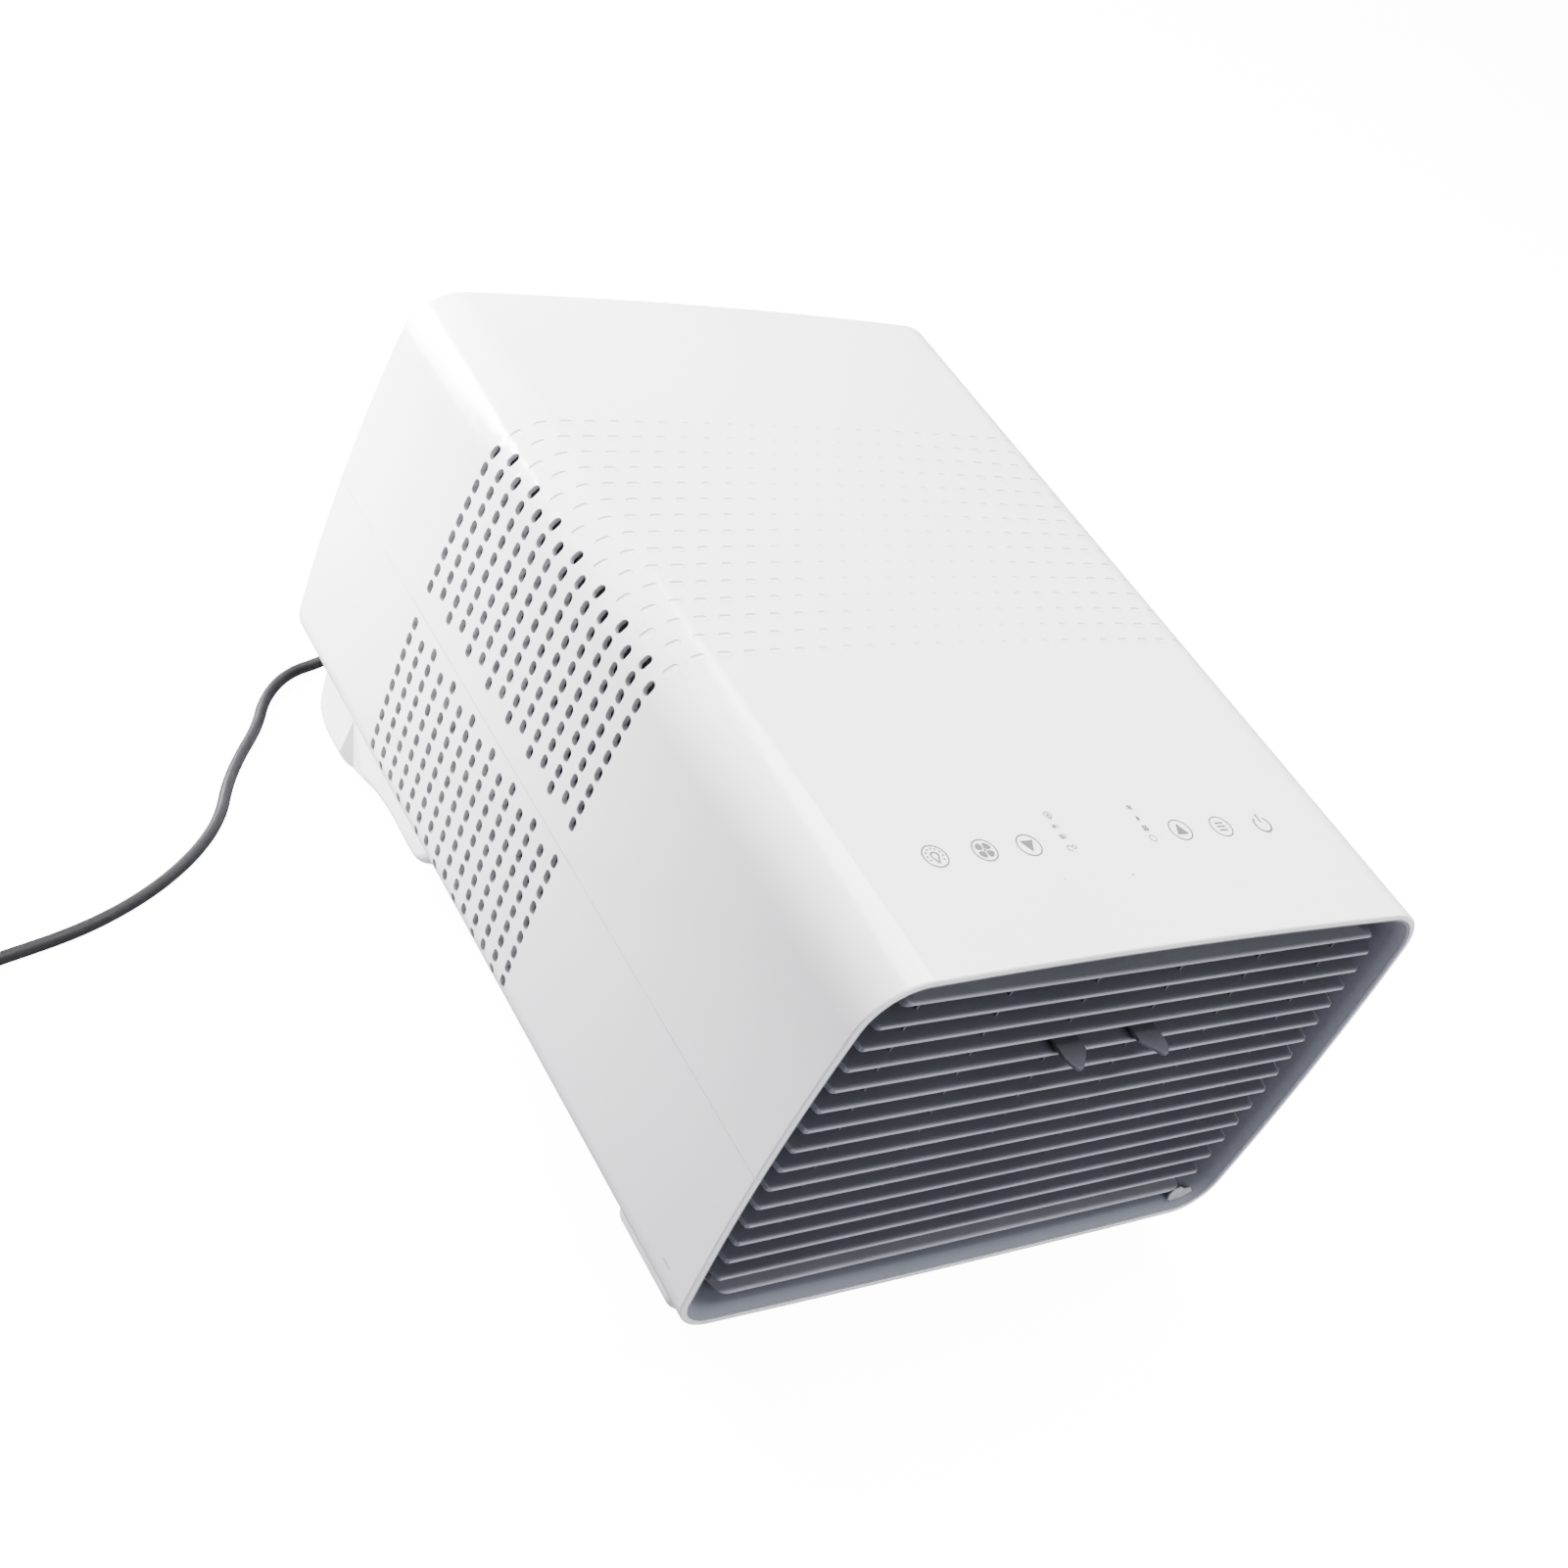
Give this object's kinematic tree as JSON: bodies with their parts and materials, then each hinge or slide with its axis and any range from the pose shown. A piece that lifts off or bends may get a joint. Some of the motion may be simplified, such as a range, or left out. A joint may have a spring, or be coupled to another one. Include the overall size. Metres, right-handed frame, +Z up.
{
  "type": "portable air conditioner and dehumidifier",
  "caption": "Compact dehumidifying cooler: rounded white housing with slotted sides, finned front outlet with swivelling vanes and thumb levers, touch keys on top, mains lead.",
  "frame": {"origin": "centre of the footprint on the floor, lead, coil and plug left out", "axes": "+Z up, +Y from the front outlet towards the rear, +X to the right seen from the front"},
  "size_m": [0.6985, 0.4987, 0.2627],
  "materials": {
    "shell_white": "satin gloss",
    "bezel_blue_grey": "matte",
    "grille_grey": "satin",
    "vane_dark": "matte",
    "inner_black": "matte",
    "fan_grey": "satin",
    "motor_metal": "satin",
    "pan_steel": "galvanised",
    "tray_white": "matte",
    "coil_aluminium": "bare",
    "compressor_black": "gloss black paint",
    "pipe_copper": "bare copper",
    "rubber_black": "matte",
    "filter_mesh": "woven mesh",
    "board_green": "satin",
    "screw_steel": "zinc plated",
    "cord_grey": "satin"
  },
  "bodies": {
    "housing": {"upper_shell": "shell_white", "lower_shell": "shell_white", "foot_pads": "rubber_black", "front_bezel": "bezel_blue_grey", "louver_grille": "grille_grey", "supply_shroud": "inner_black", "supply_motor": "motor_metal", "exhaust_shroud": "inner_black", "exhaust_motor": "motor_metal", "base_pan": "pan_steel", "drip_tray": "tray_white", "evaporator": "coil_aluminium", "condenser": "coil_aluminium", "compressor": "compressor_black", "compressor_grommets": "rubber_black", "refrigerant_pipes": "pipe_copper", "rear_panel": "shell_white", "panel_screws": "screw_steel", "left_filter": "filter_mesh", "right_filter": "filter_mesh", "control_board": "board_green", "touch_board": "board_green", "cord_outlet": "shell_white", "strain_relief": "cord_grey", "mains_cord": "cord_grey", "cord_coil": "cord_grey", "mains_plug": "cord_grey", "vane_frame": "inner_black"},
    "vane_left_outer": {"vane_left_outer": "vane_dark"},
    "vane_left_middle": {"vane_left_middle": "vane_dark"},
    "vane_left_inner": {"vane_left_inner": "vane_dark"},
    "vane_right_inner": {"vane_right_inner": "vane_dark"},
    "vane_right_middle": {"vane_right_middle": "vane_dark"},
    "vane_right_outer": {"vane_right_outer": "vane_dark"},
    "link_left": {"link_bar_left": "vane_dark"},
    "link_right": {"link_bar_right": "vane_dark"},
    "supply_fan": {"supply_impeller": "fan_grey"},
    "exhaust_fan": {"exhaust_impeller": "fan_grey"}
  },
  "joints": [
    {"name": "vane_left_outer_swing", "type": "hinge", "parent": "housing", "child": "vane_left_outer", "pos_m": [-0.1315, -0.20265, 0.148], "axis": [0, 0, 1], "range_deg": [-30, 20]},
    {"name": "vane_left_middle_swing", "type": "hinge", "parent": "housing", "child": "vane_left_middle", "pos_m": [-0.0789, -0.20265, 0.148], "axis": [0, 0, 1], "range_deg": [-30, 20]},
    {"name": "vane_left_inner_swing", "type": "hinge", "parent": "housing", "child": "vane_left_inner", "pos_m": [-0.0263, -0.20265, 0.148], "axis": [0, 0, 1], "range_deg": [-30, 20]},
    {"name": "vane_right_inner_swing", "type": "hinge", "parent": "housing", "child": "vane_right_inner", "pos_m": [0.0263, -0.20265, 0.148], "axis": [0, 0, 1], "range_deg": [-20, 30]},
    {"name": "vane_right_middle_swing", "type": "hinge", "parent": "housing", "child": "vane_right_middle", "pos_m": [0.0789, -0.20265, 0.148], "axis": [0, 0, 1], "range_deg": [-20, 30]},
    {"name": "vane_right_outer_swing", "type": "hinge", "parent": "housing", "child": "vane_right_outer", "pos_m": [0.1315, -0.20265, 0.148], "axis": [0, 0, 1], "range_deg": [-20, 30]},
    {"name": "link_left_pin", "type": "hinge", "parent": "vane_left_inner", "child": "link_left", "pos_m": [-0.0263, -0.19065, 0.148], "axis": [0, 0, 1], "range_deg": [-20, 30]},
    {"name": "link_right_pin", "type": "hinge", "parent": "vane_right_inner", "child": "link_right", "pos_m": [0.0263, -0.19065, 0.148], "axis": [0, 0, 1], "range_deg": [-30, 20]},
    {"name": "supply_fan_spin", "type": "hinge", "parent": "housing", "child": "supply_fan", "pos_m": [0, -0.15565, 0.14335], "axis": [0, 1, 0], "continuous": true},
    {"name": "exhaust_fan_spin", "type": "hinge", "parent": "housing", "child": "exhaust_fan", "pos_m": [0, 0.19035, 0.14335], "axis": [0, 1, 0], "continuous": true}
  ],
  "couplings": [
    {"joint": "vane_left_outer_swing", "follows": "vane_left_inner_swing", "ratio": 1},
    {"joint": "vane_left_middle_swing", "follows": "vane_left_inner_swing", "ratio": 1},
    {"joint": "vane_right_middle_swing", "follows": "vane_right_inner_swing", "ratio": 1},
    {"joint": "vane_right_outer_swing", "follows": "vane_right_inner_swing", "ratio": 1},
    {"joint": "link_left_pin", "follows": "vane_left_inner_swing", "ratio": -1},
    {"joint": "link_right_pin", "follows": "vane_right_inner_swing", "ratio": -1}
  ]
}
